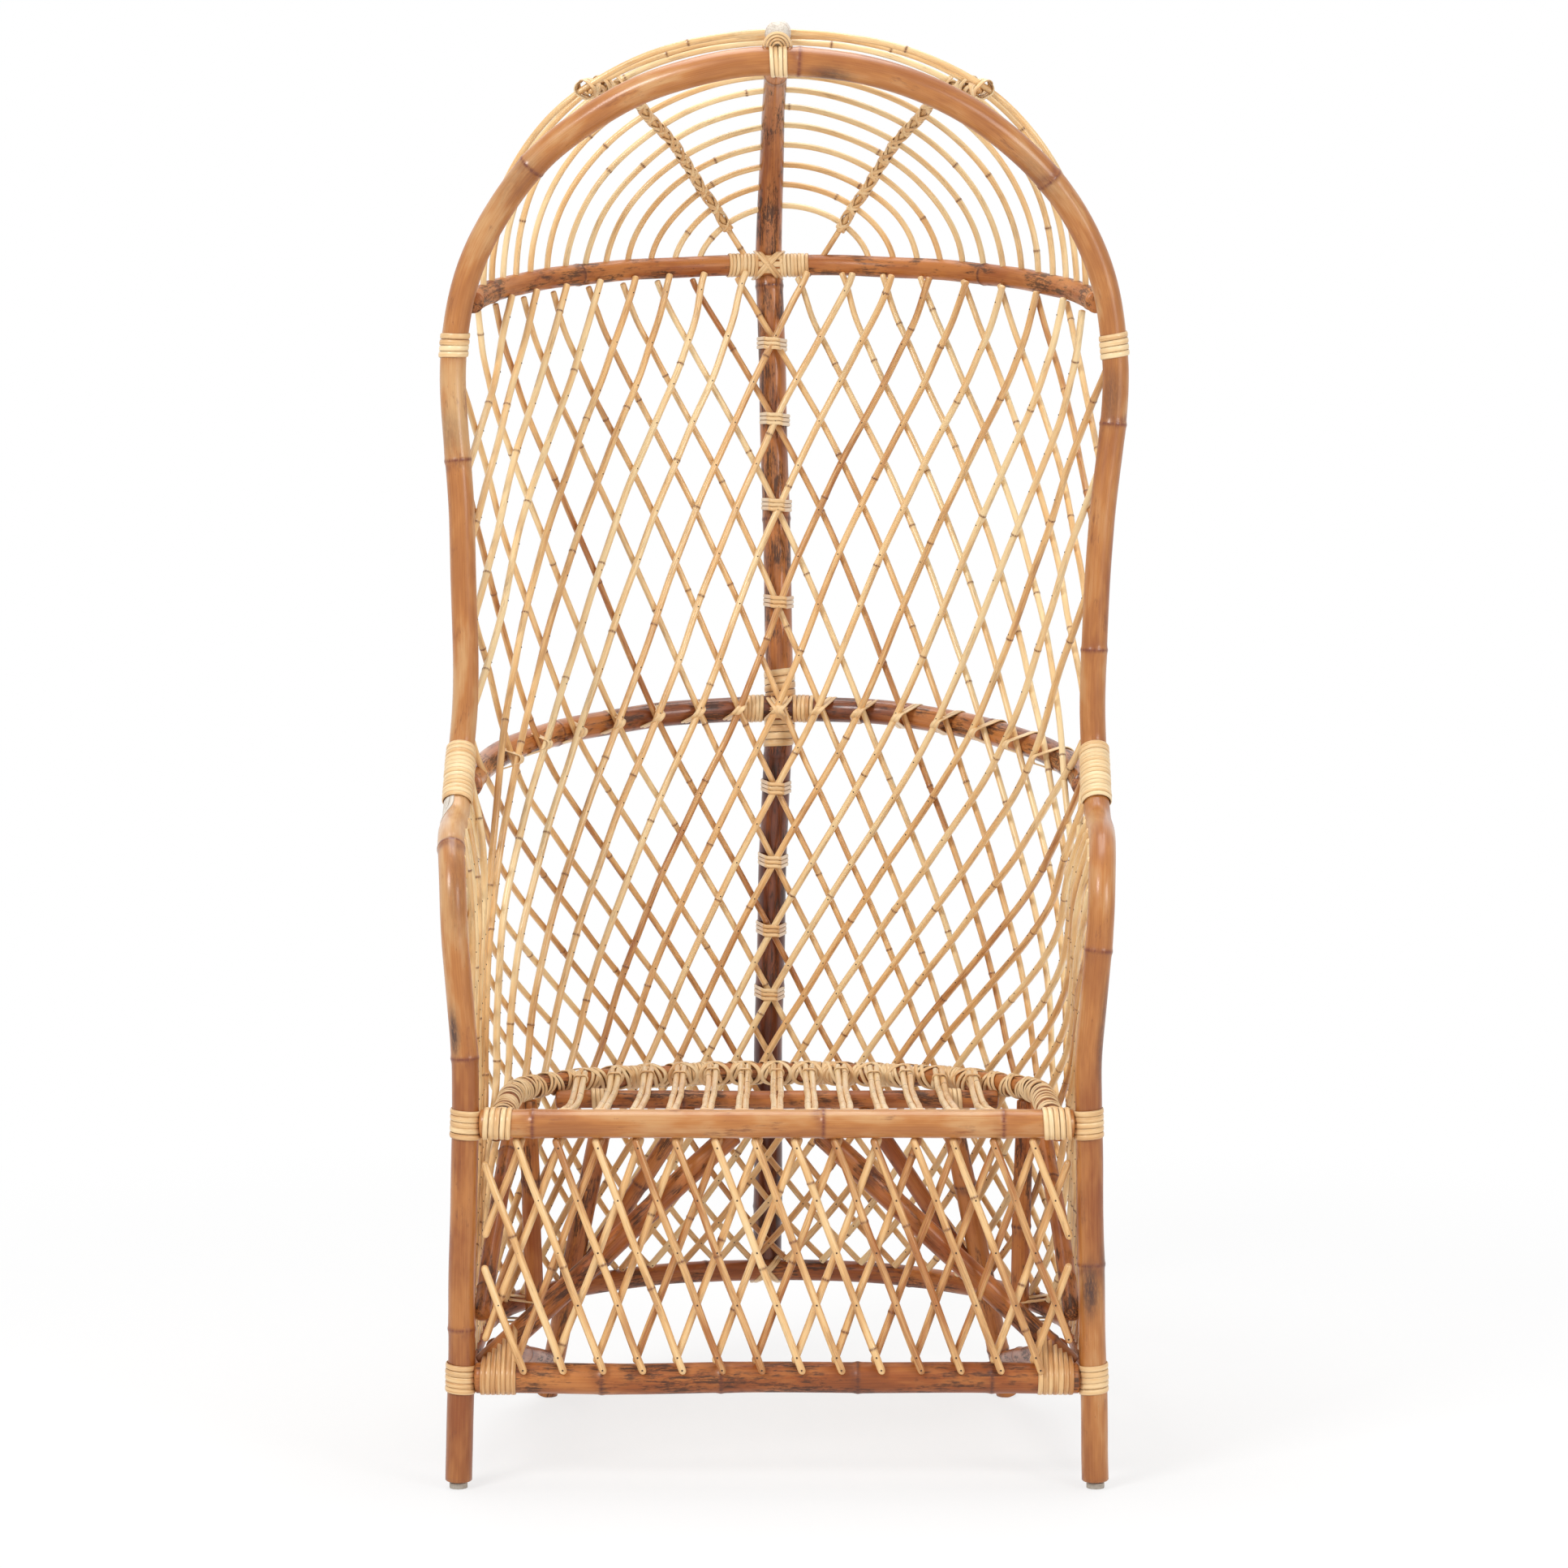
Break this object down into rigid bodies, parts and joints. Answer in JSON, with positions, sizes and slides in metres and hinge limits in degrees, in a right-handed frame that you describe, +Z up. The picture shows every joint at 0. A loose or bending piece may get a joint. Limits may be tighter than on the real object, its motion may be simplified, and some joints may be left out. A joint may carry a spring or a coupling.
{
  "type": "peacock chair",
  "caption": "Hooded rattan armchair with a rounded diagonal cane lattice back, an arched open cane hood, a slatted cane seat and a lattice skirt.",
  "frame": {"origin": "on the floor, under the middle of the bounding box", "axes": "+Z up the spine, -Y out of the open front, +X to the right as seen from the front"},
  "size_m": [0.7982, 0.736, 1.6583],
  "materials": {
    "honey_pole": "satin varnished rattan",
    "dark_pole": "satin dark rattan",
    "pale_cane": "satin cane",
    "split_cane": "satin split cane",
    "plug": "matte"
  },
  "bodies": {
    "root": {"front_post_left": "honey_pole", "front_post_right": "honey_pole", "hood_hoop": "honey_pole", "upper_rail": "honey_pole", "mid_rail": "honey_pole", "seat_rail": "honey_pole", "seat_ring": "honey_pole", "back_rail": "dark_pole", "spine": "dark_pole", "front_rail": "dark_pole", "rear_leg_left": "dark_pole", "rear_leg_right": "dark_pole", "front_brace_left": "dark_pole", "front_brace_right": "dark_pole", "rear_brace_left": "dark_pole", "rear_brace_right": "dark_pole", "side_stretcher_left": "dark_pole", "side_stretcher_right": "dark_pole", "side_brace_left": "dark_pole", "side_brace_right": "dark_pole", "side_upright_left": "dark_pole", "side_upright_right": "dark_pole", "back_lattice": "pale_cane", "front_skirt": "pale_cane", "seat_slats": "pale_cane", "hood_cage_left": "pale_cane", "hood_cage_right": "pale_cane", "arm_binding_left": "split_cane", "arm_binding_right": "split_cane", "seat_strap_left": "split_cane", "seat_strap_right": "split_cane", "bottom_strap_left": "split_cane", "bottom_strap_right": "split_cane", "hoop_strap_left": "split_cane", "hoop_strap_right": "split_cane", "hood_lashing": "split_cane", "upper_wrap_left": "split_cane", "upper_wrap_right": "split_cane", "mid_wrap_left": "split_cane", "mid_wrap_right": "split_cane", "spine_wrap_above": "split_cane", "spine_wrap_below": "split_cane", "seat_wrap_left": "split_cane", "seat_wrap_right": "split_cane", "bottom_wrap_left": "split_cane", "bottom_wrap_right": "split_cane", "seat_edge_left": "split_cane", "seat_edge_right": "split_cane", "foot_plug_left": "plug", "foot_plug_right": "plug"}
  },
  "joints": []
}
